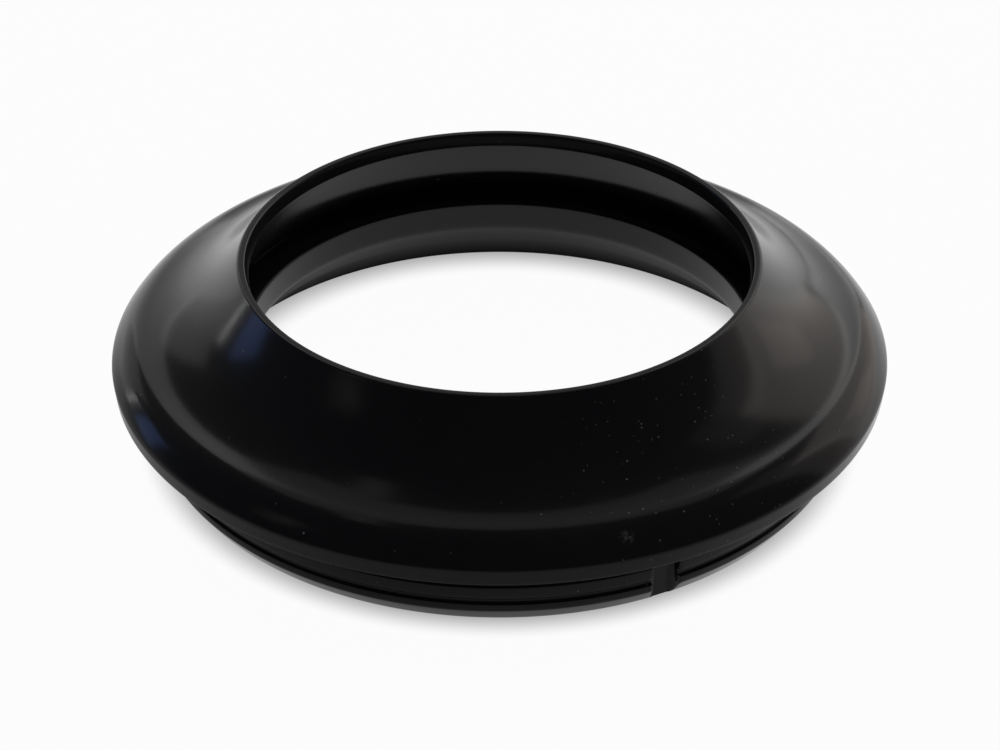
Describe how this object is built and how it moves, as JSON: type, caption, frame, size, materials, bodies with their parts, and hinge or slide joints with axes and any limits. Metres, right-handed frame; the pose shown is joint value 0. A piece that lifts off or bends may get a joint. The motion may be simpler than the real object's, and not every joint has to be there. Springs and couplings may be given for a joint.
{
  "type": "fork dust seal",
  "caption": "Moulded rubber dust seal for a telescopic fork: conical wiping lip, rounded flange and grooved ring that presses into the slider.",
  "frame": {"origin": "centre of the base face, on the seal's axis", "axes": "+Z along the seal's axis, from the base that goes into the slider towards the wiping lip; the pry notch faces between +X and -Y"},
  "size_m": [0.0532, 0.0532, 0.0129],
  "materials": {
    "rubber": "smooth glossy moulded black rubber"
  },
  "bodies": {
    "root": {"dust_seal": "rubber"}
  },
  "joints": []
}
